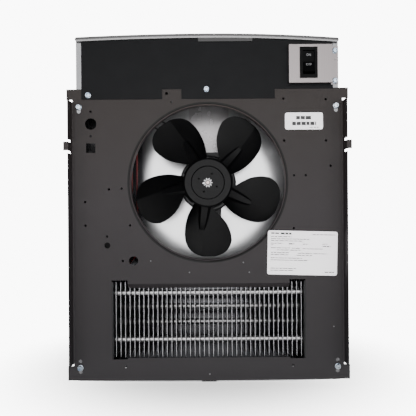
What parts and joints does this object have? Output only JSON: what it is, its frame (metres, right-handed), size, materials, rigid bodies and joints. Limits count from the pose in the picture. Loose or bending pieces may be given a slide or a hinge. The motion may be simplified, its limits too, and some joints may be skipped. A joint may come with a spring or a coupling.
{
  "type": "ceiling heater",
  "caption": "Fan-forced recessed ceiling heater insert with its grille off: axial fan in a rolled orifice, finned element in a window, wiring cover and rocker switch.",
  "frame": {"origin": "centre of the rectangle of mounting holes, on the rear face of the back pan", "axes": "+X to the right seen from the room, +Y into the ceiling away from the room, +Z towards the wiring end, up in the picture"},
  "size_m": [0.381, 0.115, 0.4702],
  "materials": {
    "galvanised": "bare galvanised",
    "rail_metal": "bare bright",
    "deck_paint": "satin brown-black",
    "cover_paint": "satin blue-black",
    "inner_sheet": "bare galvanised",
    "moulded_black": "matt",
    "bracket_metal": "bare sheet",
    "switch_body": "satin",
    "switch_rocker": "satin",
    "terminal_metal": "plated",
    "motor_paint": "semi-gloss black",
    "bearing_bronze": "sintered",
    "core_steel": "laminated",
    "copper": "enamelled wire",
    "zinc": "zinc plated",
    "fan_black": "semi-gloss black",
    "shaft_steel": "ground",
    "spring_steel": "bright",
    "fin_metal": "dull",
    "tube_metal": "dull",
    "ceramic": "glazed",
    "disc_metal": "dark cap, matt",
    "ground_green": "green plated",
    "lead_red": "satin",
    "lead_black": "satin"
  },
  "bodies": {
    "housing": {"back_pan": "galvanised", "pan_side_left": "galvanised", "pan_side_right": "galvanised", "top_rail": "rail_metal", "fan_deck": "deck_paint", "wiring_cover": "cover_paint", "wiring_barrier": "inner_sheet", "lead_bushing": "moulded_black", "switch_bracket": "bracket_metal", "switch_housing": "switch_body", "switch_terminals": "terminal_metal", "motor_bracket": "motor_paint", "motor_shell": "motor_paint", "motor_front_bell": "motor_paint", "rear_bearing": "bearing_bronze", "front_bearing": "bearing_bronze", "stator_core": "core_steel", "stator_windings": "copper", "motor_screws": "zinc", "element_fins": "fin_metal", "element_tube_upper": "tube_metal", "element_tube_lower": "tube_metal", "element_bracket_left": "motor_paint", "element_bracket_right": "motor_paint", "element_insulators": "ceramic", "element_pins": "terminal_metal", "element_jumper": "terminal_metal", "limit_switch": "disc_metal", "fan_delay_switch": "disc_metal", "terminal_block": "moulded_black", "terminal_screws": "terminal_metal", "ground_screw": "ground_green", "deck_screws": "zinc", "cover_screws": "zinc", "bracket_screws": "zinc", "lead_supply": "lead_red", "lead_return": "lead_red", "lead_limit_to_element": "lead_red", "motor_lead_a": "lead_black", "motor_lead_b": "lead_black"},
    "fan": {"fan_wheel": "fan_black", "push_nut": "spring_steel", "motor_shaft": "shaft_steel", "motor_rotor": "core_steel"},
    "rocker": {"switch_rocker": "switch_rocker"}
  },
  "joints": [
    {"name": "fan_spin", "type": "hinge", "parent": "housing", "child": "fan", "pos_m": [0, -0.08, 0.0347], "axis": [0, 1, 0], "continuous": true},
    {"name": "switch_rock", "type": "hinge", "parent": "housing", "child": "rocker", "pos_m": [0.1356, -0.099, 0.1932], "axis": [1, 0, 0], "range_deg": [0, 22]}
  ]
}
